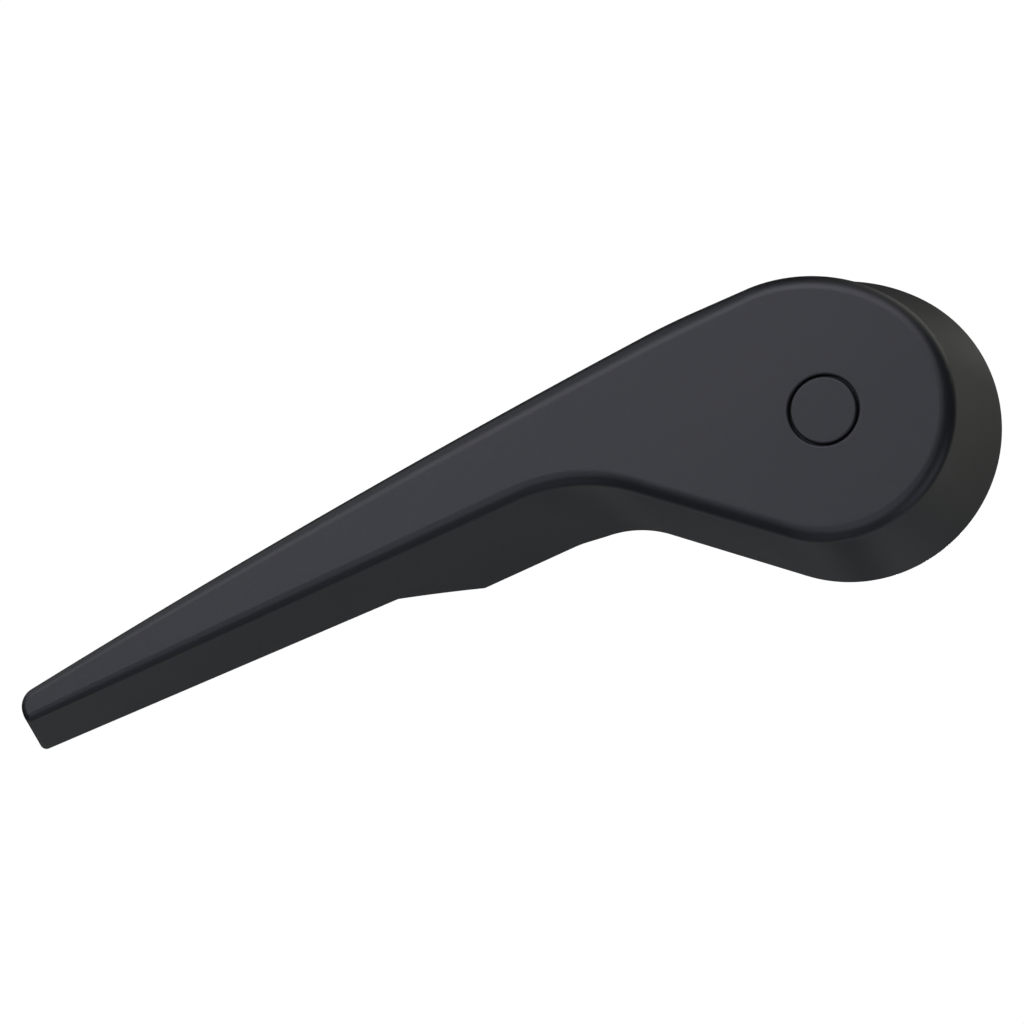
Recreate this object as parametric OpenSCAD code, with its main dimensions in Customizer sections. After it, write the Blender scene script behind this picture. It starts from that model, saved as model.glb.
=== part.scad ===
// Pull handle of a reclining chair: a long flat-faced lever whose round hub fits over a
// square drive rod. The handle is one black moulding, hollow and ribbed behind. A screw with
// a washer holds it on the end of the rod, and a snap-in cap, flush with the face, hides the
// screw.
//
// The handle hangs in its place of use: X runs right and Z up as the face is seen, and Y runs
// back into the chair. The origin is on the rod's axis, level with the hub's back rim.
//
// Every piece is drawn face down, as it lies in the mould, and then hung in place. There u
// runs from the rod's axis to the tip, v across the arm towards its upper edge, and z is the
// depth behind the face.

/* [Hub] */
// Depth of the hub, from the face to its back rim
hub_depth = 38; // [34:1:42]
// Radius of the hub at the face, up to the sharp edge that the rounding then takes off
hub_r = 31.8; // [29:0.1:34]
// Radius of the hub's back rim
rim_r = 37.7; // [35:0.1:40]

/* [Arm] */
// Distance from the rod's axis to the end of the arm, measured on the face
arm_length = 216.4; // [190:0.2:240]
// Depth of the arm, from the face to its back edge
arm_depth = 25; // [20:1:28]
// Angle by which the arm hangs below level
droop = 21; // [0:1:40]
// Height of the upper edge over the rod's axis, where the edge is carried on past the hub
top_at_hub = 38; // [37:0.1:39]
// Height of the upper edge at the end of the arm
top_at_tip = 13.9; // [13.5:0.1:16]
// Rise of the crowned upper edge over a straight one, at its middle
top_crown = 2.3; // [0.5:0.1:3]
// Height of the lower edge, where it is carried back to the rod's axis
under_at_hub = 12.3; // [12:0.1:16]
// Height of the lower edge at the end of the arm
under_at_tip = 7; // [6:0.1:7.8]

/* [Waist and shoulder] */
// Slope of the straight lower edge that runs from the hub up to the waist, at the face
waist_slope = 39; // [36:0.5:40]
// Slope of that edge at full depth
waist_back_slope = 39.5; // [37:0.5:42]
// Radius of the waist at the face, where that edge turns into the arm
waist_r = 43; // [35:1:48]
// Radius of the waist at full depth
waist_back_r = 26.5; // [22:0.5:32]
// Angle that the shoulder's arc turns through before the hub's circle takes over, at the face
shoulder_turn = 56; // [50:1:90]
// Angle that it turns through at full depth
shoulder_back_turn = 50; // [44:1:60]
// Height of the shoulder over the rod's axis
shoulder_top = 35.9; // [35.6:0.1:36.2]
// Radius that joins the shoulder to the arm's upper edge
crest_r = 170; // [120:5:200]
// Distance along the arm at which the upper edge is met
crest_u = 30; // [28:1:34]

/* [Flare] */
// How far the upper wall stands out at full depth
top_flare = 4.7; // [4:0.1:7]
// How far the lower wall stands out at full depth, at the arm's root
root_flare = 10.4; // [8:0.1:12]
// How far the lower wall would stand out at full depth, at the tip
tip_flare = 5.5; // [4:0.1:8]
// How far the end wall would stand out at full depth
end_flare = 9.4; // [8:0.1:14]
// Share of the side walls' flare that is saved up for their back, which makes them hollow
cove = 0.3; // [0:0.05:0.4]

/* [Edges] */
// Rounding of the face's edge at the hub
hub_edge_r = 4; // [3:0.1:4.5]
// Rounding of the face's upper edge where the arm leaves the shoulder
upper_edge_r = 5.1; // [3.5:0.1:5.5]
// Rounding of the face's edge at the tip
tip_edge_r = 2; // [1.6:0.1:2.2]
// Corner radius at the tip's upper side
tip_top_r = 5; // [3:0.1:5]
// Corner radius at the tip's lower side
tip_under_r = 1.9; // [1.8:0.1:2.2]
// Bevel that breaks the back rim's outer edge
rim_bevel = 0.5; // [0.3:0.1:0.8]

/* [Back edge] */
// Distance along the arm at which the hub's rim ends
rim_end = 67; // [60:1:68]
// Length of the soft step off the rim
rim_step = 8; // [4:1:10]
// Height of that step
rim_drop = 1.5; // [0.5:0.1:3]
// Distance along the arm at which the back edge starts up its ramp
ramp_start = 101.5; // [92:0.5:104]
// Length of the ramp along the arm
ramp_length = 19.5; // [14:0.5:30]

/* [Shell] */
// Thickness of the side wall
wall = 2.4; // [2:0.1:2.8]
// Thickness of the face
skin = 2.8; // [2.4:0.1:3.2]
// Thickness of the wall at the arm's end
end_wall = 5; // [3:0.5:8]
// Thickness of a rib
rib = 1.6; // [1.2:0.1:2]
// Distance by which the ribs stop short of the back edge
rib_drop = 2.5; // [1:0.5:5]
// Number of equal angles between the hub's spokes
spokes = 8; // [6:1:10]
// Distance between the cross ribs in the arm
rib_pitch = 24; // [18:1:32]

/* [Rod socket] */
// Width of the square drive rod across its flats
rod = 15.9; // [12:0.1:16]
// Clearance on each side of the rod
rod_gap = 0.1; // [0.05:0.05:0.3]
// Length of rod that the socket takes
socket_depth = 20; // [16:1:21]
// Wall left outside the socket's corners
boss_wall = 3; // [2.5:0.1:3.5]

/* [Screw and washer] */
// Thread diameter of the screw
screw_d = 6; // [5:0.5:6]
// Length of the screw under its head
screw_length = 20; // [16:1:24]
// Diameter of the screw's pan head
head_d = 12; // [10:0.2:12]
// Height of the screw's head
head_h = 4.4; // [3.5:0.1:4.6]
// Outer diameter of the washer
washer_d = 12.4; // [11:0.2:13]
// Thickness of the washer
washer_t = 1.6; // [1:0.1:2]
// Thickness of the web that the screw clamps to the rod
web = 5; // [4:0.5:6]
// Diameter of the screw's plain neck, which is the pitch diameter that its thread is rolled to
neck_d = 5.35; // [4.5:0.05:5.5]
// Clearance around the screw and around the washer's hole
screw_gap = 0.3; // [0.2:0.05:0.5]

/* [Cap] */
// Diameter of the cap's disc
cap_d = 16.6; // [16:0.1:19]
// Thickness of the cap's disc
cap_t = 2.2; // [1.8:0.1:2.6]
// Gap around the disc
cap_gap = 0.4; // [0.2:0.05:0.6]
// Rounding of the disc's edge and of the recess
cap_edge = 0.5; // [0.3:0.1:0.8]
// Width of the ledge that the disc seats on
cap_ledge = 1.3; // [1:0.1:1.6]
// Length of the cap's skirt below its disc
skirt_h = 3.8; // [3:0.1:4.2]
// Thickness of the skirt
skirt_t = 1; // [0.8:0.1:1.3]
// Clearance between the skirt and its hole
skirt_gap = 0.1; // [0.05:0.05:0.2]
// Height of the snap bead on the skirt
bead = 0.3; // [0.2:0.05:0.4]

/* [Hidden] */
$fn = 96;

// Steps of the face edge's rounding, and rings down the wall
edge_steps = 6;
wall_rings = 3;
// Rounding of the inside corner under the face, at the hub and at the tip
inner_r = 1.2;
inner_tip_r = 0.3;
// How far a cut runs past the surface that it opens
over = 1;

ramp_end = ramp_start + ramp_length;
web_depth = hub_depth - rim_drop;
under_slope = atan((under_at_tip - under_at_hub) / arm_length);
socket_w = rod + 2 * rod_gap;
boss_r = socket_w / sqrt(2) + boss_wall;
socket_floor = hub_depth - socket_depth;
screw_seat = socket_floor - web;
head_seat = screw_seat - washer_t;
recess_r = cap_d / 2 + cap_gap;
bore_r = recess_r - cap_ledge;
bead_z = cap_t + skirt_h * 0.7;
thread_start = socket_floor + 0.5;

// The normal on the right of a direction, which points out of the outline when the outline
// is followed anticlockwise
function out_of(a) = [sin(a), -cos(a)];
function ease(t) = let (c = max(0, min(1, t))) c * c * (3 - 2 * c);
function mix(a, b, t) = a + (b - a) * t;

// An edge of the outline is its direction and its offset from the rod's axis.
function edge(p, a) = [a, p * out_of(a)];

// Centre of the arc of radius r that rounds the corner of two edges. A hollow corner has a
// negative radius.
function arc_centre(e, f, r) =
    let (m = out_of(e[0]), n = out_of(f[0]), j = e[1] - r, k = f[1] - r)
    let (det = m.x * n.y - m.y * n.x)
    [(j * n.y - k * m.y) / det, (m.x * k - n.x * j) / det];

// How far the walls have spread at depth z, as a share of their flare at full depth
function spread(z) = let (f = z / hub_depth) f * (1 - cove) + cove * f * f;

// The share of the full depth at which they have spread by g
function depth_share(g) = 2 * g / (1 - cove + sqrt((1 - cove) * (1 - cove) + 4 * cove * g));

// Upper edge of the arm, a shallow crown, and lower edge, each where its wall has spread by g
function top_v(u, g) =
    let (t = u / arm_length)
    mix(top_at_hub, top_at_tip, t) + 4 * top_crown * t * (1 - t) + g * top_flare;
function top_a(u) =
    180 + atan((top_at_tip - top_at_hub + 4 * top_crown * (1 - 2 * u / arm_length)) / arm_length);
function under_v(u, g) =
    let (t = max(0, (u - ramp_start) / (arm_length - ramp_start)))
    mix(under_at_hub, under_at_tip, u / arm_length) - g * mix(root_flare, tip_flare, t);

// Depth of the back edge: the hub's rim, a soft step, the web, the ramp and the arm
function back_depth(u) =
    u <= ramp_start ? mix(hub_depth, web_depth, ease((u - rim_end) / rim_step)) :
    u >= ramp_end ? arm_depth :
    mix(web_depth, arm_depth, (u - ramp_start) / ramp_length);

// The shoulder's arc touches the crest's level line and the hub's circle.
function shoulder_place(g, inset, a) =
    let (turn = mix(shoulder_turn, shoulder_back_turn, g), r_hub = hub_r_at(g, inset))
    let (r = (crest_at(g, inset)[1] - r_hub * cos(turn)) / (1 - cos(turn)))
    a - 180 > turn ? [r_hub * out_of(a), a] :
    [(r_hub - r) * out_of(180 + turn) + r * out_of(a), a];

// A place on an outline is its point and the outline's direction there. The outline stands
// back from the wall's outer surface by an inset, and the arm's end by its own amount.
function on_arc(e, f, r, t) =
    let (a = mix(e[0], f[0], t))
    [arc_centre(e, f, r) + r * out_of(a), a];
function on_edge(p, a, inset) = [p - inset * out_of(a), a];
function hub_r_at(g, inset) = mix(hub_r, rim_r, g) - inset;
function chin_a(g) = mix(waist_slope, waist_back_slope, g);
function chin_at(g, inset) = [chin_a(g), hub_r_at(g, inset)];
function under_at(g, inset) =
    edge([ramp_start, under_v(ramp_start, g)], under_slope) - [0, inset];
function waist_at(g, inset, t) =
    on_arc(chin_at(g, inset), under_at(g, inset), -mix(waist_r, waist_back_r, g) - inset, t);
function tip_under_at(g, inset) =
    let (da = atan((under_v(arm_length, g) - under_v(arm_stop, g)) / (arm_length - arm_stop)))
    edge([arm_length, under_v(arm_length, g)], da) - [0, inset];
function tip_top_at(g, inset) = edge([arm_stop, top_v(arm_stop, g)], top_a(arm_stop)) - [0, inset];
// The end wall alone is straight from the face to the back edge.
function end_at(g, end_inset) = [90, arm_length + depth_share(g) * end_flare - end_inset];
function crest_at(g, inset) = [180, shoulder_top + g * top_flare - inset];
function corner_r(r, inset) = max(r - inset, 0.4);

// Where a station lies when the wall has spread by g. A station names a stretch of the
// outline, and its share of that stretch or its distance along the arm.
function place(st, g, inset, end_inset) =
    let (t = st[1])
    st[0] == "heel" ?
        let (a = mix(-90, chin_a(g), t)) [hub_r_at(g, inset) * out_of(a), a] :
    st[0] == "chin" ?
        [mix(hub_r_at(g, inset) * out_of(chin_a(g)), waist_at(g, inset, 0)[0], t), chin_a(g)] :
    st[0] == "waist" ? waist_at(g, inset, t) :
    st[0] == "root" ?
        let (p = waist_at(g, inset, 1)[0])
        [mix(p, [ramp_start, under_v(ramp_start, g)] - inset * out_of(under_slope), t), under_slope] :
    st[0] == "under" ? on_edge([t, under_v(t, g)], under_slope, inset) :
    st[0] == "tip_under" ?
        on_arc(tip_under_at(g, inset), end_at(g, end_inset), corner_r(tip_under_r, inset), t) :
    st[0] == "tip_top" ?
        on_arc(end_at(g, end_inset), tip_top_at(g, inset), corner_r(tip_top_r, inset), t) :
    st[0] == "top" ? on_edge([t, top_v(t, g)], top_a(t), inset) :
    st[0] == "crest" ?
        on_arc(edge([crest_u, top_v(crest_u, g)], top_a(crest_u)) - [0, inset],
            crest_at(g, inset), crest_r, t) :
    shoulder_place(g, inset, mix(180, 270, t));

arm_stop = arm_length - 2 * tip_top_r;
arm_us = [
    for (i = [0:4]) mix(ramp_start, ramp_end, i / 4),
    for (i = [1:8]) mix(ramp_end, arm_stop, i / 8)
];

// The stations, anticlockwise from the hub's far side
stations = [
    for (i = [0:21]) ["heel", i / 21],
    for (i = [1:3]) ["chin", i / 4],
    for (i = [0:9]) ["waist", i / 9],
    for (i = [1:5]) ["root", i / 6],
    for (u = arm_us) ["under", u],
    for (i = [0:6]) ["tip_under", i / 6],
    for (i = [0:7]) ["tip_top", i / 7],
    for (i = [len(arm_us) - 1:-1:0]) ["top", arm_us[i]],
    for (i = [5:-1:1]) ["top", mix(crest_u, ramp_start, i / 5.5)],
    for (i = [0:2]) ["crest", i / 2],
    for (i = [1:14]) ["shoulder", i / 15]
];

// The point that stands off a place by a distance, at depth z
function off(pl, d, z) = let (p = pl[0] + d * out_of(pl[1])) [p.x, p.y, z];
function wall_point(st, z, inset = 0, end_inset = 0) =
    off(place(st, spread(z), inset, end_inset), 0, z);

// The back edge's depth at a station, and the slope at which its wall leaves the face
function rim_z(st) = back_depth(place(st, 1, 0, 0)[0].x);
function lean(st) =
    let (pl = place(st, 0, 0, 0))
    (place(st, spread(1), 0, 0)[0] - pl[0]) * out_of(pl[1]);

// The rounded edge of the face, at the share q of its turn
function edge_r(st) =
    let (pl = place(st, 0, 0, 0), u = max(0, pl[0].x))
    let (upper = max(0, -cos(pl[1])) * ease(u / crest_u), t = u / arm_length)
    mix(mix(hub_edge_r, upper_edge_r, upper), tip_edge_r, t * t);
function edge_turn(st) = 90 - atan(lean(st));
function edge_z(st, q) = edge_r(st) * (1 - cos(edge_turn(st) * q));
function edge_point(st, q) =
    let (r = edge_r(st), turn = edge_turn(st), z = edge_z(st, q))
    off(place(st, spread(z), 0, 0), r * sin(turn * q) - r * tan(turn / 2) - lean(st) * z, z);

function inner_edge_r(st) = mix(inner_r, inner_tip_r, ease(place(st, 0, 0, 0)[0].x / arm_length));
function inner_point(st, d, z) = off(place(st, spread(z), wall, end_wall), -d, z);

// The rings of the shell, from the face down the outside, over the rim and up the inside
shell_rings = [
    for (i = [0:edge_steps]) [for (st = stations) edge_point(st, i / edge_steps)],
    for (i = [1:wall_rings])
        [for (st = stations)
            wall_point(st, mix(edge_z(st, 1), rim_z(st) - rim_bevel, i / wall_rings))],
    [for (st = stations) off(place(st, spread(rim_z(st)), 0, 0), -rim_bevel, rim_z(st))],
    for (i = [0:2])
        [for (st = stations) inner_point(st, 0, mix(rim_z(st), skin + inner_edge_r(st), i / 2))],
    [for (st = stations) let (b = inner_edge_r(st) * 0.3) inner_point(st, b, skin + b)],
    [for (st = stations) inner_point(st, inner_edge_r(st), skin)]
];

// The core ends halfway into the walls and the face, where the ribs are cut off.
core_rings = [
    [for (st = stations) off(place(st, 0, wall, end_wall), 0, skin * 0.3)],
    for (i = [1:wall_rings])
        [for (st = stations)
            wall_point(st, mix(skin, rim_z(st), i / wall_rings), wall / 2, end_wall / 2)]
];

// The neck's middle sees the whole outline, so the flat ends fan out from it.
waist_mid = waist_at(0, 0, 0.5)[0];
neck = [waist_mid.x, (top_v(waist_mid.x, 0) + waist_mid.y) / 2];

// A closed solid of rings, each with a point for every station, and a fan at each end
module rings_solid(rings, first_z, last_z) {
    n = len(stations);
    k = len(rings);
    points = concat(
        [for (ring = rings) for (p = ring) p],
        [[neck.x, neck.y, first_z], [neck.x, neck.y, last_z]]
    );
    faces = concat(
        [for (j = [0:k - 2]) for (i = [0:n - 1])
            let (a = j * n + i, b = j * n + (i + 1) % n)
            each [[a, a + n, b], [b, a + n, b + n]]],
        [for (i = [0:n - 1]) [k * n, i, (i + 1) % n]],
        [for (i = [0:n - 1]) [k * n + 1, (k - 1) * n + (i + 1) % n, (k - 1) * n + i]]
    );
    polyhedron(points, faces, convexity = 10);
}

module hang() {
    translate([0, -hub_depth, 0]) rotate([-90, 180 - droop, 0]) children();
}

// Round hole or peg on the rod's axis, between two depths
module bar(r, z0, z1) {
    translate([0, 0, z0]) cylinder(r = r, h = z1 - z0);
}

module spoke_ribs() {
    for (i = [1:spokes - 1])
        rotate([0, 0, i * 360 / spokes])
            translate([boss_r - over, -rib / 2, skin / 2])
                cube([rim_r, rib, hub_depth - rib_drop - skin / 2]);
}

// One rib runs down the middle of the arm and follows its back edge.
module spine_rib() {
    mid_at_hub = (top_at_hub + under_at_hub) / 2;
    mid_at_tip = (top_at_tip + under_at_tip) / 2;
    profile = [
        [0, skin / 2],
        [0, web_depth - rib_drop],
        [ramp_start, web_depth - rib_drop],
        [ramp_end, arm_depth - rib_drop],
        [arm_length + over, arm_depth - rib_drop],
        [arm_length + over, skin / 2]
    ];
    translate([0, mid_at_hub, 0])
        rotate([0, 0, atan((mid_at_tip - mid_at_hub) / arm_length)])
            rotate([90, 0, 0])
                linear_extrude(height = rib, center = true) polygon(profile);
}

module cross_ribs() {
    first = hub_r + rib_pitch / 2;
    for (u = [first:rib_pitch:arm_length - rib_pitch / 2])
        translate([u, -hub_r, skin / 2])
            cube([rib, 2 * hub_r + top_at_hub, back_depth(u + rib) - rib_drop - skin / 2]);
}

// The square hole stands level, whatever the arm's droop.
module socket_cut() {
    rotate([0, 0, droop])
        translate([-socket_w / 2, -socket_w / 2, socket_floor])
            cube([socket_w, socket_w, socket_depth + over]);
}

// Round seat for the cap, with a broken edge and a groove for the snap bead
module cap_seat_cut() {
    reach_in = bead + skirt_gap;
    rotate_extrude()
        polygon([
            [0, -over],
            [recess_r + cap_edge + over, -over],
            [recess_r, cap_edge],
            [recess_r, cap_t],
            [bore_r, cap_t],
            [bore_r, bead_z - reach_in],
            [bore_r + bead, bead_z],
            [bore_r, bead_z + reach_in],
            [bore_r, screw_seat],
            [0, screw_seat]
        ]);
}

module handle_body() {
    color("#3b3c40") hang()
        difference() {
            union() {
                rings_solid(shell_rings, 0, skin);
                bar(boss_r, skin / 2, hub_depth);
                intersection() {
                    rings_solid(core_rings, skin * 0.3, hub_depth);
                    union() {
                        spoke_ribs();
                        spine_rib();
                        cross_ribs();
                    }
                }
            }
            cap_seat_cut();
            bar(screw_d / 2 + screw_gap, screw_seat - over, socket_floor + over);
            socket_cut();
        }
}

module screw_cap() {
    skirt_r = bore_r - skirt_gap;
    color("#393a3e") hang()
        rotate_extrude()
            polygon([
                [0, 0],
                for (i = [0:4])
                    let (q = i * 90 / 4)
                    [cap_d / 2 - cap_edge * (1 - sin(q)), cap_edge * (1 - cos(q))],
                [cap_d / 2, cap_t],
                [skirt_r, cap_t],
                [skirt_r, bead_z - bead],
                [skirt_r + bead, bead_z],
                [skirt_r, bead_z + bead],
                [skirt_r, cap_t + skirt_h],
                [skirt_r - skirt_t, cap_t + skirt_h],
                [skirt_r - skirt_t, cap_t],
                [0, cap_t]
            ]);
}

module fixing_screw() {
    thread_r = screw_d / 2 - 0.05;
    tip = head_seat + screw_length;
    dome = head_h * 0.45;
    recess_w = screw_d * 0.2;
    color("#b9bcc0") hang()
        difference() {
            rotate_extrude()
                polygon([
                    [0, head_seat - head_h],
                    for (i = [1:5])
                        let (q = i * 90 / 5)
                        [head_d / 2 * sin(q), head_seat - head_h + dome * (1 - cos(q))],
                    [head_d / 2, head_seat],
                    [neck_d / 2, head_seat],
                    [neck_d / 2, thread_start],
                    [thread_r, thread_start],
                    [thread_r, tip - thread_r / 4],
                    [thread_r * 0.75, tip],
                    [0, tip]
                ]);
            for (q = [0, 90])
                rotate([0, 0, q])
                    translate([-screw_d / 2, -recess_w / 2, head_seat - head_h - over])
                        cube([screw_d, recess_w, head_h * 0.6 + over]);
        }
}

module washer() {
    color("#a9acb0") hang()
        difference() {
            bar(washer_d / 2, head_seat, screw_seat);
            bar(screw_d / 2 + screw_gap, head_seat - over, screw_seat + over);
        }
}

handle_body();
screw_cap();
fixing_screw();
washer();
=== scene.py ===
"""Looks for the recliner pull handle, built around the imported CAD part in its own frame.

The moulding is lofted again from the drawing's sizes with closer stations and real edge
radii, and the cap, screw and washer are turned again with their small forms. Everything is
in the place that the CAD part gives it. Sizes below are in millimetres and degrees.
"""

import math

import bmesh
import bpy
from mathutils import Matrix, Vector


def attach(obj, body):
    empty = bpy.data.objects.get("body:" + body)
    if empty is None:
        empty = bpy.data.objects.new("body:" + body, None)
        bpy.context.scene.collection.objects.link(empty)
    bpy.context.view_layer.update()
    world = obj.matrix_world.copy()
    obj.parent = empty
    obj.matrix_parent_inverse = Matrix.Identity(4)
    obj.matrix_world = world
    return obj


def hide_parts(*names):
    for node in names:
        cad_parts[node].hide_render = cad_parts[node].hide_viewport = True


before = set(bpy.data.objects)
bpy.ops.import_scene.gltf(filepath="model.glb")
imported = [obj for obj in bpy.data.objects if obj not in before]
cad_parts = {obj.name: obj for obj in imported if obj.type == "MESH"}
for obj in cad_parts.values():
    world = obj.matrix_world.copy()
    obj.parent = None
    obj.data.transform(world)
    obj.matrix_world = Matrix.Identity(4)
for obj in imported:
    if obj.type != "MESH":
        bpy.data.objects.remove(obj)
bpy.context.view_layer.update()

MM = 0.001

# Sizes of the moulding, as in the part's source
HUB_DEPTH, HUB_R, RIM_R = 38.0, 31.8, 37.7
ARM_LENGTH, ARM_DEPTH, DROOP = 216.4, 25.0, 21.0
TOP_AT_HUB, TOP_AT_TIP, TOP_CROWN = 38.0, 13.9, 2.3
UNDER_AT_HUB, UNDER_AT_TIP = 12.3, 7.0
WAIST_SLOPE, WAIST_BACK_SLOPE, WAIST_R, WAIST_BACK_R = 39.0, 39.5, 43.0, 26.5
SHOULDER_TURN, SHOULDER_BACK_TURN, SHOULDER_TOP = 56.0, 50.0, 35.9
CREST_R, CREST_U = 170.0, 30.0
TOP_FLARE, ROOT_FLARE, TIP_FLARE, END_FLARE, COVE = 4.7, 10.4, 5.5, 9.4, 0.3
HUB_EDGE_R, UPPER_EDGE_R, TIP_EDGE_R, TIP_TOP_R, TIP_UNDER_R = 4.0, 5.1, 2.0, 5.0, 1.9
RIM_END, RIM_STEP, RIM_DROP, RAMP_START, RAMP_LENGTH = 67.0, 8.0, 1.5, 101.5, 19.5
WALL, SKIN, END_WALL, RIB, RIB_DROP, SPOKES, RIB_PITCH = 2.4, 2.8, 5.0, 1.6, 2.5, 8, 24.0
INNER_R, INNER_TIP_R = 1.2, 0.3
RAMP_END = RAMP_START + RAMP_LENGTH
WEB_DEPTH = HUB_DEPTH - RIM_DROP
UNDER_SLOPE = math.degrees(math.atan((UNDER_AT_TIP - UNDER_AT_HUB) / ARM_LENGTH))
ARM_STOP = ARM_LENGTH - 2 * TIP_TOP_R
CREST_END = CREST_U + 6

# Rod socket, screw, washer and cap
SOCKET_W, SOCKET_DEPTH, BOSS_WALL = 16.1, 20.0, 3.0
SCREW_D, NECK_D, SCREW_LENGTH, HEAD_D, HEAD_H = 6.0, 5.35, 20.0, 12.0, 4.4
WASHER_D, WASHER_T, WEB, SCREW_GAP = 12.4, 1.6, 5.0, 0.3
CAP_D, CAP_T, CAP_GAP, CAP_LEDGE = 16.6, 2.2, 0.4, 1.3
SKIRT_H, SKIRT_T, SKIRT_GAP, BEAD = 3.8, 1.0, 0.1, 0.3
BOSS_R = SOCKET_W / math.sqrt(2) + BOSS_WALL
SOCKET_FLOOR = HUB_DEPTH - SOCKET_DEPTH
SCREW_SEAT = SOCKET_FLOOR - WEB
HEAD_SEAT = SCREW_SEAT - WASHER_T
RECESS_R = CAP_D / 2 + CAP_GAP
BORE_R = RECESS_R - CAP_LEDGE
BEAD_Z = CAP_T + SKIRT_H * 0.7

# Roundings: of the back rim, of the ribs' free edges, of the lips of the cap and its recess, of
# the small edges behind the cap and on the washer, and under the screw's head. The last is the
# least that a corner of the outline keeps when it is drawn further in.
RIM_ROUND, RIB_ROUND, LIP_R, SMALL_R, HEAD_R = 0.5, 0.35, 0.65, 0.2, 0.3
CORNER_MIN = 0.4

# Rings of the shell's mesh: over the face's edge, down the outside, round the rim, up the inside
EDGE_STEPS, WALL_STEPS, RIM_STEPS, INNER_STEPS = 10, 8, 4, 5

# Forms of the screw: the thread's pitch and depth, the dome of its head and its cross recess
PITCH, THREAD_DEPTH = 1.0, 0.55
DOME = HEAD_H * 0.45
SLOT_W, SLOT_DEPTH = SCREW_D * 0.2, HEAD_H * 0.6

# The camera's place about the handle, found from the outlines, its lens and what it looks at
VIEW_AZIMUTH, VIEW_ELEVATION, VIEW_DISTANCE, LENS = 14.92, -7.88, 1.2, 168.75
LOOK_AT = Vector((-0.08313, -0.019, -0.0195))

# Soft boxes: what they face, how far off and how wide they are, in metres, and their tints
LIGHTS_FACE = Vector((-0.085, -0.019, -0.02))
BOX_DISTANCE, BOX_SIZE = 1.6, 1.2
FILL_DISTANCE, FILL_SIZE, FILL_POWER = 2.0, 0.3, 16.0
COOL, PALE, NEUTRAL, WARM = "#e7ecff", "#f0f0ff", "#f8fbff", "#fffff8"

# Azimuth, elevation, watts and tint of each. Azimuth 0 is in front of the face and 90 to its
# right. The face mirrors the first three, and the walls take a weak, warmer sheen from those
# behind.
SOFT_BOXES = [
    ("front_left", -30, 20, 9.6, PALE),
    ("front_high", 5, 40, 10.4, PALE),
    ("front_low", 5, -25, 6.0, COOL),
    ("below", -30, -80, 2.0, COOL),
    ("left_high", -85, 40, 3.7, NEUTRAL),
    ("right_low", 80, -35, 4.0, COOL),
    ("above_right", 60, 70, 1.4, WARM),
    ("behind_left_low", -150, -35, 1.0, NEUTRAL),
    ("behind_right_low", 155, -45, 1.6, NEUTRAL),
    ("behind_right", 145, 0, 1.3, WARM),
    ("behind_right_high", 135, 45, 3.9, WARM),
]

# The floor's half width and height, in metres: the handle is held well above it
FLOOR_SIDE, FLOOR_LEVEL = 12.0, -2.4


def sin(a):
    return math.sin(math.radians(a))


def cos(a):
    return math.cos(math.radians(a))


def mix(a, b, t):
    return a + (b - a) * t


def ease(t):
    c = max(0.0, min(1.0, t))
    return c * c * (3 - 2 * c)


def out_of(a):
    """The normal on the right of a direction, which points out of the outline."""
    return sin(a), -cos(a)


def offset(p, d, a):
    nx, ny = out_of(a)
    return p[0] + d * nx, p[1] + d * ny


def edge(p, a, inset=0.0):
    """A straight edge: its direction and its offset from the rod's axis."""
    nx, ny = out_of(a)
    return a, p[0] * nx + p[1] * ny - inset


def on_arc(e, f, r, t):
    """A point on the arc that rounds the corner of two edges, and the direction there."""
    (mx, my), (nx, ny) = out_of(e[0]), out_of(f[0])
    j, k = e[1] - r, f[1] - r
    det = mx * ny - my * nx
    centre = ((j * ny - k * my) / det, (mx * k - nx * j) / det)
    a = mix(e[0], f[0], t)
    return offset(centre, r, a), a


def spread(z):
    """How far the walls have flared at depth z, as a share of their flare at full depth."""
    f = z / HUB_DEPTH
    return f * (1 - COVE) + COVE * f * f


def depth_share(g):
    """The share of the full depth at which the walls have flared by g."""
    return 2 * g / (1 - COVE + math.sqrt((1 - COVE) ** 2 + 4 * COVE * g))


def top_v(u, g):
    t = u / ARM_LENGTH
    return mix(TOP_AT_HUB, TOP_AT_TIP, t) + 4 * TOP_CROWN * t * (1 - t) + g * TOP_FLARE


def top_a(u):
    slope = (TOP_AT_TIP - TOP_AT_HUB + 4 * TOP_CROWN * (1 - 2 * u / ARM_LENGTH)) / ARM_LENGTH
    return 180 + math.degrees(math.atan(slope))


def under_v(u, g):
    t = max(0.0, (u - RAMP_START) / (ARM_LENGTH - RAMP_START))
    return mix(UNDER_AT_HUB, UNDER_AT_TIP, u / ARM_LENGTH) - g * mix(ROOT_FLARE, TIP_FLARE, t)


def back_depth(u):
    """Depth of the back edge: the hub's rim, a soft step, the web, the ramp and the arm."""
    if u <= RAMP_START:
        return mix(HUB_DEPTH, WEB_DEPTH, ease((u - RIM_END) / RIM_STEP))
    if u >= RAMP_END:
        return ARM_DEPTH
    return mix(WEB_DEPTH, ARM_DEPTH, (u - RAMP_START) / RAMP_LENGTH)


def hub_r_at(g, inset):
    return mix(HUB_R, RIM_R, g) - inset


def chin_a(g):
    return mix(WAIST_SLOPE, WAIST_BACK_SLOPE, g)


def waist_at(g, inset, t):
    chin = (chin_a(g), hub_r_at(g, inset))
    under = edge((RAMP_START, under_v(RAMP_START, g)), UNDER_SLOPE, inset)
    return on_arc(chin, under, -mix(WAIST_R, WAIST_BACK_R, g) - inset, t)


def corner_r(r, inset):
    return max(r - inset, CORNER_MIN)


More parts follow.
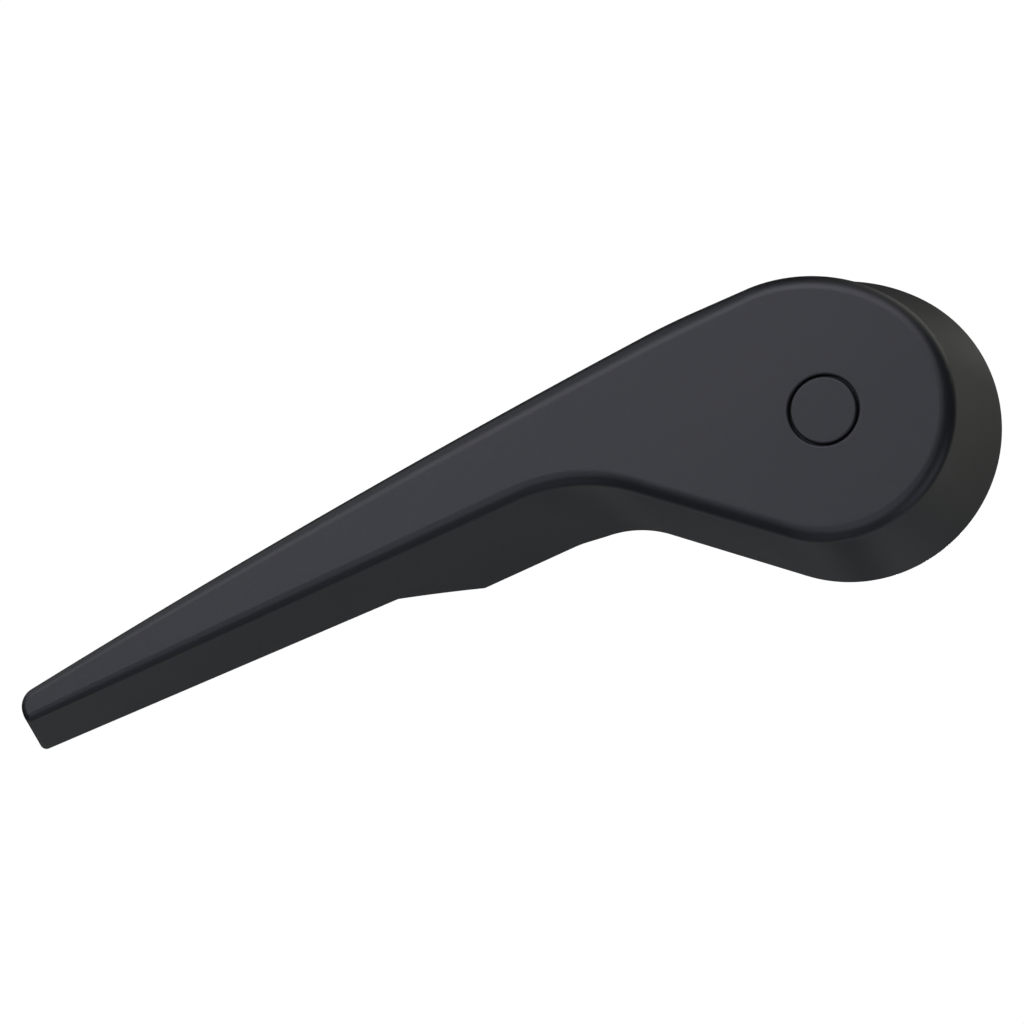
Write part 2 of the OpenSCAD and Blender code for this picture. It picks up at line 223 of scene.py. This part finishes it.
def place(station, g, inset=0.0, end_inset=0.0):
    """Where a station of the outline lies when the wall has flared by g, and its direction."""
    stretch, t = station
    end = (90, ARM_LENGTH + depth_share(g) * END_FLARE - end_inset)
    crest = (180, SHOULDER_TOP + g * TOP_FLARE - inset)
    if stretch == "heel":
        a = mix(-90, chin_a(g), t)
        return offset((0, 0), hub_r_at(g, inset), a), a
    if stretch == "chin":
        a = chin_a(g)
        p, q = offset((0, 0), hub_r_at(g, inset), a), waist_at(g, inset, 0)[0]
        return (mix(p[0], q[0], t), mix(p[1], q[1], t)), a
    if stretch == "waist":
        return waist_at(g, inset, t)
    if stretch == "root":
        p = waist_at(g, inset, 1)[0]
        q = offset((RAMP_START, under_v(RAMP_START, g)), -inset, UNDER_SLOPE)
        return (mix(p[0], q[0], t), mix(p[1], q[1], t)), UNDER_SLOPE
    if stretch == "under":
        return offset((t, under_v(t, g)), -inset, UNDER_SLOPE), UNDER_SLOPE
    if stretch == "tip_under":
        rise = (under_v(ARM_LENGTH, g) - under_v(ARM_STOP, g)) / (ARM_LENGTH - ARM_STOP)
        under = edge((ARM_LENGTH, under_v(ARM_LENGTH, g)), math.degrees(math.atan(rise)), inset)
        return on_arc(under, end, corner_r(TIP_UNDER_R, inset), t)
    if stretch == "tip_top":
        top = edge((ARM_STOP, top_v(ARM_STOP, g)), top_a(ARM_STOP), inset)
        return on_arc(end, top, corner_r(TIP_TOP_R, inset), t)
    if stretch == "top":
        return offset((t, top_v(t, g)), -inset, top_a(t)), top_a(t)
    if stretch == "crest":
        top = edge((CREST_U, top_v(CREST_U, g)), top_a(CREST_U), inset)
        return on_arc(top, crest, CREST_R, t)
    a, turn, r_hub = mix(180, 270, t), mix(SHOULDER_TURN, SHOULDER_BACK_TURN, g), hub_r_at(g, inset)
    if a - 180 > turn:
        return offset((0, 0), r_hub, a), a
    r = (crest[1] - r_hub * cos(turn)) / (1 - cos(turn))
    return offset(offset((0, 0), r_hub - r, 180 + turn), r, a), a


def stations(fine):
    """The outline's stations, anticlockwise from the hub's far side."""
    def n(k):
        return max(2, round(k * fine))

    def run(name, k, first=0, last=0):
        k = n(k)
        return [(name, i / k) for i in range(first, k + last)]

    ramp = [mix(RAMP_START, RAMP_END, i / n(5)) for i in range(n(5) + 1)]
    arm = ramp + [mix(RAMP_END, ARM_STOP, i / n(9)) for i in range(1, n(9) + 1)]
    web = [mix(CREST_END, RAMP_START, i / n(6)) for i in range(n(6) - 1, -1, -1)]
    tip = [ARM_STOP + i * TIP_TOP_R / n(2) for i in range(1, n(2) + 1)]
    return (
        run("heel", 21, 0, 1) + run("chin", 4, 1) + run("waist", 9, 0, 1) + run("root", 6, 1)
        + [("under", u) for u in arm + tip] + run("tip_under", 6, 0, 1) + run("tip_top", 7, 0, 1)
        + [("top", u) for u in reversed(arm)] + [("top", u) for u in web]
        + run("crest", 2, 0, 1) + run("shoulder", 15, 1)
    )


def off(spot, d, z):
    x, y = offset(spot[0], d, spot[1])
    return x, y, z


def wall_point(station, z, inset=0.0, end_inset=0.0, out=0.0):
    return off(place(station, spread(z), inset, end_inset), out, z)


def rim_z(station):
    return back_depth(place(station, 1)[0][0])


def lean(station):
    """Slope at which the wall leaves the face."""
    p, a = place(station, 0)
    q = place(station, spread(1))[0]
    nx, ny = out_of(a)
    return (q[0] - p[0]) * nx + (q[1] - p[1]) * ny


def edge_r(station):
    """Rounding of the face's edge: largest on the arm's upper side, smallest at the tip."""
    p, a = place(station, 0)
    u = max(0.0, p[0])
    upper = max(0.0, -cos(a)) * ease(u / CREST_U)
    return mix(mix(HUB_EDGE_R, UPPER_EDGE_R, upper), TIP_EDGE_R, (u / ARM_LENGTH) ** 2)


def face_edge_point(station, q):
    """A point on the rounded edge of the face, at the share q of its turn."""
    r, s = edge_r(station), lean(station)
    turn = 90 - math.degrees(math.atan(s))
    z = r * (1 - cos(turn * q))
    inset = r * math.tan(math.radians(turn / 2)) + s * z - r * sin(turn * q)
    x, y = place(station, spread(z), inset, inset)[0]
    return x, y, z


def face_edge_end(station):
    return face_edge_point(station, 1)[2]


def inner_edge_r(station):
    return mix(INNER_R, INNER_TIP_R, ease(place(station, 0)[0][0] / ARM_LENGTH))


def shell_rings(line):
    """Rings from the face down the outside, over the rim and up the inside."""
    rings = [[face_edge_point(s, i / EDGE_STEPS) for s in line] for i in range(EDGE_STEPS + 1)]
    for i in range(1, WALL_STEPS + 1):
        rings.append([
            wall_point(s, mix(face_edge_end(s), rim_z(s) - RIM_ROUND, i / WALL_STEPS)) for s in line
        ])
    for i in range(1, RIM_STEPS + 1):
        q = i * 90 / RIM_STEPS
        rings.append([
            wall_point(s, rim_z(s) - RIM_ROUND * (1 - sin(q)), out=-RIM_ROUND * (1 - cos(q)))
            for s in line
        ])
    for i in range(3):
        q = i * 90 / 2
        rings.append([
            wall_point(s, rim_z(s) - RIM_ROUND / 2 * (1 - cos(q)), WALL, END_WALL,
                       RIM_ROUND / 2 * (1 - sin(q)))
            for s in line
        ])
    for i in range(1, INNER_STEPS + 1):
        rings.append([
            wall_point(s, mix(rim_z(s) - RIM_ROUND / 2, SKIN + inner_edge_r(s), i / INNER_STEPS),
                       WALL, END_WALL)
            for s in line
        ])
    for i in range(1, RIM_STEPS + 1):
        q = i * 90 / RIM_STEPS
        rings.append([
            wall_point(s, SKIN + inner_edge_r(s) * (1 - sin(q)), WALL, END_WALL,
                       -inner_edge_r(s) * (1 - cos(q)))
            for s in line
        ])
    return rings


def core_rings(line):
    """Rings inside the thickness of the walls and the face, which cut off the ribs."""
    rings = [[off(place(s, 0, WALL, END_WALL), 0, SKIN * 0.3) for s in line]]
    for i in range(1, 5):
        rings.append([
            wall_point(s, mix(SKIN, HUB_DEPTH, i / 4), WALL / 2, END_WALL / 2) for s in line
        ])
    return rings


def hang(p):
    """From the drawing (along the arm, across it, behind the face) to the row's frame."""
    u, v, z = p
    return (
        MM * (-u * cos(DROOP) - v * sin(DROOP)),
        MM * (z - HUB_DEPTH),
        MM * (-u * sin(DROOP) + v * cos(DROOP)),
    )


def mesh_object(name, points, faces):
    mesh = bpy.data.meshes.new(name)
    mesh.from_pydata([hang(p) for p in points], [], faces)
    bm = bmesh.new()
    bm.from_mesh(mesh)
    bmesh.ops.remove_doubles(bm, verts=bm.verts, dist=1e-7)
    bmesh.ops.recalc_face_normals(bm, faces=bm.faces)
    bm.to_mesh(mesh)
    bm.free()
    obj = bpy.data.objects.new(name, mesh)
    bpy.context.scene.collection.objects.link(obj)
    return obj


def lofted(name, rings):
    """A closed solid of rings, with a flat face across the first and the last."""
    n, k = len(rings[0]), len(rings)
    points = [p for ring in rings for p in ring]
    faces = [
        (j * n + i, j * n + (i + 1) % n, (j + 1) * n + (i + 1) % n, (j + 1) * n + i)
        for j in range(k - 1) for i in range(n)
    ]
    faces += [tuple(reversed(range(n))), tuple(range((k - 1) * n, k * n))]
    return mesh_object(name, points, faces)


def turned(name, profile, steps=96):
    """A solid turned about the rod's axis. The profile runs from the axis to the axis."""
    points, rows = [], []
    for r, z in profile:
        if r < 1e-6:
            rows.append([len(points)] * steps)
            points.append((0, 0, z))
        else:
            rows.append([len(points) + i for i in range(steps)])
            points += [(r * cos(360 * i / steps), r * sin(360 * i / steps), z) for i in range(steps)]
    faces = []
    for low, high in zip(rows, rows[1:]):
        for i in range(steps):
            j = (i + 1) % steps
            corners = [low[i], low[j], high[j], high[i]]
            corners = [c for k, c in enumerate(corners) if c != corners[k - 1]]
            if len(corners) > 2:
                faces.append(corners)
    return mesh_object(name, points, faces)


def arc(r0, z0, radius, first, last, steps=5):
    """Points of a profile's rounded corner, about (r0, z0), by angles from outward to deeper."""
    return [
        (r0 + radius * cos(mix(first, last, i / steps)), z0 + radius * sin(mix(first, last, i / steps)))
        for i in range(steps + 1)
    ]


def block(name, low, high, turn=0.0, shift=(0.0, 0.0, 0.0), round_back=0.0):
    """A box from low to high in the drawing, turned across the arm about the rod's axis."""
    r = round_back
    back = high[2]
    section = [(low[1], low[2]), (high[1], low[2]), (high[1], back - r)]
    if r:
        section += [(high[1] - r * (1 - cos(q)), back - r * (1 - sin(q))) for q in (30, 60, 90)]
        section += [(low[1] + r * (1 - cos(q)), back - r * (1 - sin(q))) for q in (90, 60, 30)]
    section.append((low[1], back - r))
    n = len(section)
    points = []
    for x in (low[0], high[0]):
        for y, z in section:
            points.append((
                shift[0] + x * cos(turn) - y * sin(turn),
                shift[1] + x * sin(turn) + y * cos(turn),
                shift[2] + z,
            ))
    faces = [tuple(range(n)), tuple(range(2 * n - 1, n - 1, -1))]
    faces += [(i, (i + 1) % n, n + (i + 1) % n, n + i) for i in range(n)]
    return mesh_object(name, points, faces)


def combine(target, tool, how):
    """Joins, cuts or keeps the common part of two closed solids."""
    mod = target.modifiers.new(how.lower(), "BOOLEAN")
    mod.operation = how
    mod.object = tool
    mod.solver = "MANIFOLD"
    bpy.context.view_layer.update()
    done = bpy.data.meshes.new_from_object(
        target.evaluated_get(bpy.context.evaluated_depsgraph_get()))
    target.modifiers.clear()
    old = target.data
    name = old.name
    target.data = done
    bpy.data.meshes.remove(old)
    done.name = name
    bpy.data.objects.remove(tool)


def merge_flats(mesh):
    """Merges the triangles that lie flat across the rod's axis, so that they shade as one."""
    bm = bmesh.new()
    bm.from_mesh(mesh)
    inside = [
        e for e in bm.edges
        if len(e.link_faces) == 2 and min(abs(f.normal.y) for f in e.link_faces) > 0.999999
        and e.calc_face_angle() < 0.001
    ]
    bmesh.ops.dissolve_limit(bm, angle_limit=0.001, verts=[], edges=inside, delimit=set())
    bm.to_mesh(mesh)
    bm.free()


def smooth(obj, angle):
    """Smooth shading that keeps creases over the angle, with exact normals on true flats."""
    mesh = obj.data
    merge_flats(mesh)
    mesh.polygons.foreach_set("use_smooth", [True] * len(mesh.polygons))
    mesh.set_sharp_from_angle(angle=math.radians(angle))
    mod = obj.modifiers.new("weighted", "WEIGHTED_NORMAL")
    mod.mode = "FACE_AREA"
    mod.keep_sharp = True
    mod.weight = 100
    bpy.context.view_layer.update()
    shaded = obj.evaluated_get(bpy.context.evaluated_depsgraph_get()).data
    normals = [corner.vector.copy() for corner in shaded.corner_normals]
    obj.modifiers.clear()
    flats = {}
    for face in mesh.polygons:
        if abs(face.normal.y) > 0.999999:
            flats.update((v, Vector((0, round(face.normal.y), 0))) for v in face.vertices)
    for loop in mesh.loops:
        flat = flats.get(loop.vertex_index)
        if flat and normals[loop.index].dot(flat) > cos(12):
            normals[loop.index] = flat
    mesh.normals_split_custom_set(normals)


def spine():
    """The rib that runs down the middle of the arm and follows its back edge."""
    mid_hub, mid_tip = (TOP_AT_HUB + UNDER_AT_HUB) / 2, (TOP_AT_TIP + UNDER_AT_TIP) / 2
    turn = math.degrees(math.atan((mid_tip - mid_hub) / ARM_LENGTH))
    profile = [
        (0, SKIN / 2), (0, WEB_DEPTH - RIB_DROP), (RAMP_START, WEB_DEPTH - RIB_DROP),
        (RAMP_END, ARM_DEPTH - RIB_DROP), (ARM_LENGTH + 1, ARM_DEPTH - RIB_DROP),
        (ARM_LENGTH + 1, SKIN / 2),
    ]
    points = [
        (x * cos(turn) - y * sin(turn), mid_hub + x * sin(turn) + y * cos(turn), z)
        for y in (-RIB / 2, RIB / 2) for x, z in profile
    ]
    n = len(profile)
    faces = [tuple(range(n)), tuple(range(2 * n - 1, n - 1, -1))]
    faces += [(i, (i + 1) % n, n + (i + 1) % n, n + i) for i in range(n)]
    return mesh_object("spine", points, faces)


def ribs():
    """Hub spokes, spine and cross ribs, cut off inside the walls and the face."""
    z0 = SKIN / 2
    core = lofted("rib_core", core_rings(stations(1.5)))
    web = spine()
    for i in range(1, SPOKES):
        low, high = (BOSS_R - 1, -RIB / 2, z0), (BOSS_R - 1 + RIM_R, RIB / 2, HUB_DEPTH - RIB_DROP)
        combine(web, block("spoke", low, high, turn=i * 360 / SPOKES, round_back=RIB_ROUND), "UNION")
    u = HUB_R + RIB_PITCH / 2
    while u <= ARM_LENGTH - RIB_PITCH / 2:
        low, high = (-TOP_AT_HUB - HUB_R, -RIB, z0), (HUB_R, 0, back_depth(u + RIB) - RIB_DROP)
        cross = block("cross_rib", low, high, turn=-90, shift=(u + RIB, 0, 0), round_back=RIB_ROUND)
        combine(web, cross, "UNION")
        u += RIB_PITCH
    combine(web, core, "INTERSECT")
    return web


def cap_seat():
    """Cutter for the cap's seat: rounded lip, ledge, groove for the snap bead and screw bore."""
    reach = BEAD + SKIRT_GAP
    lip = [(RECESS_R + LIP_R * (1 - cos(q)), LIP_R * (1 - sin(q))) for q in (90, 75, 60, 45, 30, 15, 0)]
    return turned("cap_seat", [
        (0, -1), (RECESS_R + LIP_R + 0.001, -1), *lip, (RECESS_R, CAP_T), (BORE_R, CAP_T),
        (BORE_R, BEAD_Z - reach), (BORE_R + BEAD, BEAD_Z), (BORE_R, BEAD_Z + reach),
        (BORE_R, SCREW_SEAT), (SCREW_D / 2 + SCREW_GAP, SCREW_SEAT),
        (SCREW_D / 2 + SCREW_GAP, SOCKET_FLOOR + 1), (0, SOCKET_FLOOR + 1),
    ], 144)


def handle_moulding():
    """The lever: shell, boss and ribs, with the cap's seat, the bore and the square socket."""
    line = stations(3)
    body = lofted("handle_moulding", shell_rings(line))
    boss = turned("boss", [(0, SKIN / 2), (BOSS_R, SKIN / 2),
                           *arc(BOSS_R - RIM_ROUND, HUB_DEPTH - RIM_ROUND, RIM_ROUND, 0, 90, 4),
                           (0, HUB_DEPTH)], 120)
    combine(body, boss, "UNION")
    combine(body, ribs(), "UNION")
    combine(body, cap_seat(), "DIFFERENCE")
    half = SOCKET_W / 2
    socket = block("socket", (-half, -half, SOCKET_FLOOR), (half, half, HUB_DEPTH + 1), turn=DROOP)
    combine(body, socket, "DIFFERENCE")
    smooth(body, 28)
    return body


def screw_cover():
    """The snap-in cap: a flush disc on a short skirt with a bead."""
    r, skirt = CAP_D / 2, BORE_R - SKIRT_GAP
    cap = turned("screw_cover", [
        (0, 0), *arc(r - LIP_R, LIP_R, LIP_R, -90, 0, 6),
        *arc(r - SMALL_R, CAP_T - SMALL_R, SMALL_R, 0, 90, 2), (skirt, CAP_T),
        (skirt, BEAD_Z - BEAD), *arc(skirt, BEAD_Z, BEAD, -60, 60, 4), (skirt, BEAD_Z + BEAD),
        *arc(skirt - SMALL_R, CAP_T + SKIRT_H - SMALL_R, SMALL_R, 0, 90, 2),
        (skirt - SKIRT_T, CAP_T + SKIRT_H), (skirt - SKIRT_T, CAP_T), (0, CAP_T),
    ], 144)
    smooth(cap, 35)
    return cap


def thread(first, last, crest_r, root_r, pitch):
    """A screw thread as a closed helical solid, from one depth to another, tapered at its ends."""
    steps = 40
    half_turn = steps / 2
    n = int((last - first) / pitch * steps)
    core_r = root_r - 0.6
    section = [
        (-0.5, root_r), (-0.08, crest_r), (0.08, crest_r), (0.5, root_r), (0.5, core_r), (-0.5, core_r)
    ]
    points, faces = [], []
    for i in range(n + 1):
        a, z = 360 * i / steps, first + pitch * i / steps
        taper = min(1.0, i / half_turn, (n - i) / half_turn)
        for w, r in section:
            rr = root_r + (r - root_r) * taper if r > root_r else r
            points.append((rr * cos(a), rr * sin(a), z + w * pitch * 0.96))
    m = len(section)
    for i in range(n):
        for j in range(m):
            k = (j + 1) % m
            faces.append((i * m + j, i * m + k, (i + 1) * m + k, (i + 1) * m + j))
    faces += [tuple(range(m)), tuple(reversed(range(n * m, n * m + m)))]
    return mesh_object("thread", points, faces)


def pan_screw():
    """Pan head screw with a cross recess and a coarse thread."""
    top, tip = HEAD_SEAT - HEAD_H, HEAD_SEAT + SCREW_LENGTH
    crest_r = SCREW_D / 2 - 0.05
    root_r = crest_r - THREAD_DEPTH
    head = [(HEAD_D / 2 * sin(i * 9), top + DOME * (1 - cos(i * 9))) for i in range(1, 11)]
    screw = turned("pan_screw", [
        (0, top), *head, *arc(HEAD_D / 2 - HEAD_R, HEAD_SEAT - HEAD_R, HEAD_R, 0, 90, 3),
        (NECK_D / 2, HEAD_SEAT), (NECK_D / 2, SOCKET_FLOOR), (root_r, SOCKET_FLOOR + 0.5),
        (root_r, tip - 0.8), (root_r * 0.72, tip), (0, tip),
    ])
    for turn in (0, 90):
        low, high = (-SCREW_D / 2, -SLOT_W / 2, top - 1), (SCREW_D / 2, SLOT_W / 2, top + SLOT_DEPTH)
        combine(screw, block("slot", low, high, turn=turn), "DIFFERENCE")
    combine(screw, thread(SOCKET_FLOOR + 0.6, tip - 1.4, crest_r, root_r, PITCH), "UNION")
    smooth(screw, 35)
    return screw


def plain_washer():
    """The flat ring under the screw's head."""
    r, hole = WASHER_D / 2, SCREW_D / 2 + SCREW_GAP
    ring = turned("plain_washer", [
        (hole, HEAD_SEAT), (r - SMALL_R, HEAD_SEAT),
        *arc(r - SMALL_R, HEAD_SEAT + SMALL_R, SMALL_R, -90, 0, 3)[1:],
        *arc(r - SMALL_R, SCREW_SEAT - SMALL_R, SMALL_R, 0, 90, 3),
        (hole, SCREW_SEAT), (hole, HEAD_SEAT),
    ])
    smooth(ring, 35)
    return ring


def linear(hex_colour):
    """An sRGB hex colour as the linear values that shaders take."""
    channels = [int(hex_colour[i:i + 2], 16) / 255 for i in (1, 3, 5)]
    return [c / 12.92 if c <= 0.04045 else ((c + 0.055) / 1.055) ** 2.4 for c in channels] + [1]


def add_node(tree, kind, settings=None, links=None, **attributes):
    """Adds a node, sets its attributes and sockets, and links sockets to other nodes'."""
    node = tree.nodes.new(kind)
    for key, value in attributes.items():
        setattr(node, key, value)
    for key, value in (settings or {}).items():
        node.inputs[key].default_value = value
    for key, source in (links or {}).items():
        tree.links.new(source, node.inputs[key])
    return node


def new_material(name):
    material = bpy.data.materials.new(name)
    material.use_nodes = True
    material.node_tree.nodes.clear()
    return material


def black_moulded_nylon(name, colour, grain_mm, grain_depth, patch_mm=16):
    """Black nylon from a spark-eroded mould: matte, with a fine even grain and soft patches."""
    material = new_material(name)
    tree = material.node_tree
    where = add_node(tree, "ShaderNodeTexCoord").outputs["Object"]
    grain = add_node(tree, "ShaderNodeTexNoise",
                     {"Scale": 1 / (grain_mm * MM), "Detail": 2.0, "Roughness": 0.6}, {"Vector": where})
    flow = add_node(tree, "ShaderNodeTexNoise",
                    {"Scale": 1 / (patch_mm * MM), "Detail": 3.0}, {"Vector": where})
    tone = add_node(tree, "ShaderNodeValToRGB", links={"Fac": flow.outputs["Fac"]})
    base = linear(colour)
    for stop, share in zip(tone.color_ramp.elements, (0.93, 1.07)):
        stop.color = [c * share for c in base[:3]] + [1]
    tone.color_ramp.elements[0].position = 0.3
    tone.color_ramp.elements[1].position = 0.7
    rough = add_node(tree, "ShaderNodeMapRange", {"To Min": 0.385, "To Max": 0.455},
                     {"Value": flow.outputs["Fac"]})
    bump = add_node(tree, "ShaderNodeBump", {"Strength": 0.35, "Distance": grain_depth * MM},
                    {"Height": grain.outputs["Fac"]})
    plastic = add_node(tree, "ShaderNodeBsdfPrincipled", {"IOR": 1.5, "Specular IOR Level": 0.5}, {
        "Base Color": tone.outputs["Color"], "Roughness": rough.outputs["Result"],
        "Normal": bump.outputs["Normal"]})
    add_node(tree, "ShaderNodeOutputMaterial", links={"Surface": plastic.outputs["BSDF"]})
    return material


def zinc_plated_steel(name, mark_mm=0.8):
    """Bright zinc on rolled steel: a pale bluish metal with faint mottled marks."""
    material = new_material(name)
    tree = material.node_tree
    where = add_node(tree, "ShaderNodeTexCoord").outputs["Object"]
    marks = add_node(tree, "ShaderNodeTexNoise",
                     {"Scale": 1 / (mark_mm * MM), "Detail": 4.0}, {"Vector": where})
    rough = add_node(tree, "ShaderNodeMapRange", {"To Min": 0.24, "To Max": 0.42},
                     {"Value": marks.outputs["Fac"]})
    bump = add_node(tree, "ShaderNodeBump", {"Strength": 0.15, "Distance": 0.02 * MM},
                    {"Height": marks.outputs["Fac"]})
    metal = add_node(tree, "ShaderNodeBsdfPrincipled",
                     {"Base Color": linear("#b9bfc6"), "Metallic": 1.0},
                     {"Roughness": rough.outputs["Result"], "Normal": bump.outputs["Normal"]})
    add_node(tree, "ShaderNodeOutputMaterial", links={"Surface": metal.outputs["BSDF"]})
    return material


def dress(obj, material, node):
    obj.data.materials.clear()
    obj.data.materials.append(material)
    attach(obj, "root")
    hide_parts(node)


def away(azimuth, elevation):
    """The direction from the handle at an azimuth, 0 in front and 90 to the right."""
    return Vector((
        sin(azimuth) * cos(elevation), -cos(azimuth) * cos(elevation), sin(elevation)))


def soft_box(name, azimuth, elevation, distance, size, power, colour):
    """A square soft light that faces the handle. The camera doesn't see it."""
    back = away(azimuth, elevation)
    light = bpy.data.lights.new(name, "AREA")
    light.shape = "SQUARE"
    light.size = size
    light.energy = power
    light.color = linear(colour)[:3]
    lamp = bpy.data.objects.new(name, light)
    lamp.visible_camera = False
    lamp.location = LIGHTS_FACE + back * distance
    lamp.rotation_euler = back.to_track_quat("Z", "Y").to_euler()
    bpy.context.scene.collection.objects.link(lamp)


def studio():
    """White surroundings, soft boxes, a small fill behind the ribs and a pale floor."""
    scene = bpy.context.scene
    scene.view_settings.view_transform = "Standard"
    world = bpy.data.worlds.new("white_studio")
    scene.world = world
    world.use_nodes = True
    tree = world.node_tree
    tree.nodes.clear()
    seen = add_node(tree, "ShaderNodeLightPath").outputs["Is Camera Ray"]
    glow = add_node(tree, "ShaderNodeBackground", {"Color": linear("#ffffff"), "Strength": 0.01})
    backdrop = add_node(tree, "ShaderNodeBackground", {"Color": linear("#ffffff"), "Strength": 1.02})
    both = add_node(tree, "ShaderNodeMixShader", {}, {
        0: seen, 1: glow.outputs["Background"], 2: backdrop.outputs["Background"]})
    add_node(tree, "ShaderNodeOutputWorld", links={"Surface": both.outputs["Shader"]})

    for name, azimuth, elevation, power, colour in SOFT_BOXES:
        soft_box(name, azimuth, elevation, BOX_DISTANCE, BOX_SIZE, power, colour)
    soft_box("back_fill", 180, 0, FILL_DISTANCE, FILL_SIZE, FILL_POWER, NEUTRAL)
    pale_floor()


def pale_floor():
    """A matt floor that glows a little by itself and casts no light on the handle."""
    side, level = FLOOR_SIDE, FLOOR_LEVEL
    corners = [(-side, -side, level), (side, -side, level), (side, side, level), (-side, side, level)]
    mesh = bpy.data.meshes.new("floor")
    mesh.from_pydata(corners, [], [(0, 1, 2, 3)])
    floor = bpy.data.objects.new("floor", mesh)
    bpy.context.scene.collection.objects.link(floor)
    paint = new_material("pale_floor_paint")
    coat = add_node(paint.node_tree, "ShaderNodeBsdfPrincipled", {
        "Base Color": linear("#ececec"), "Roughness": 0.8,
        "Emission Color": linear("#ececec"), "Emission Strength": 0.8})
    add_node(paint.node_tree, "ShaderNodeOutputMaterial", links={"Surface": coat.outputs["BSDF"]})
    mesh.materials.append(paint)
    floor.visible_diffuse = False
    floor.visible_glossy = False


def camera():
    """A long lens, a little to the right of the face and below it, as the outlines give it."""
    back = away(VIEW_AZIMUTH, VIEW_ELEVATION)
    data = bpy.data.cameras.new("camera")
    data.sensor_width = 36
    data.lens = LENS
    data.clip_start, data.clip_end = 0.01, 100
    data.dof.use_dof = False
    eye = bpy.data.objects.new("camera", data)
    eye.location = LOOK_AT + back * VIEW_DISTANCE
    right = Vector((cos(VIEW_AZIMUTH), sin(VIEW_AZIMUTH), 0))
    up = back.cross(right)
    eye.rotation_euler = Matrix((right, up, back)).transposed().to_euler()
    bpy.context.scene.collection.objects.link(eye)
    bpy.context.scene.camera = eye


camera()
studio()
nylon = black_moulded_nylon("black_moulded_nylon", "#191a1c", 0.45, 0.06)
cap_nylon = black_moulded_nylon("black_cap_nylon", "#18191b", 0.4, 0.05)
zinc = zinc_plated_steel("zinc_plated_steel")
dress(handle_moulding(), nylon, "handle_body")
dress(screw_cover(), cap_nylon, "screw_cap")
dress(pan_screw(), zinc, "fixing_screw")
dress(plain_washer(), zinc, "washer")
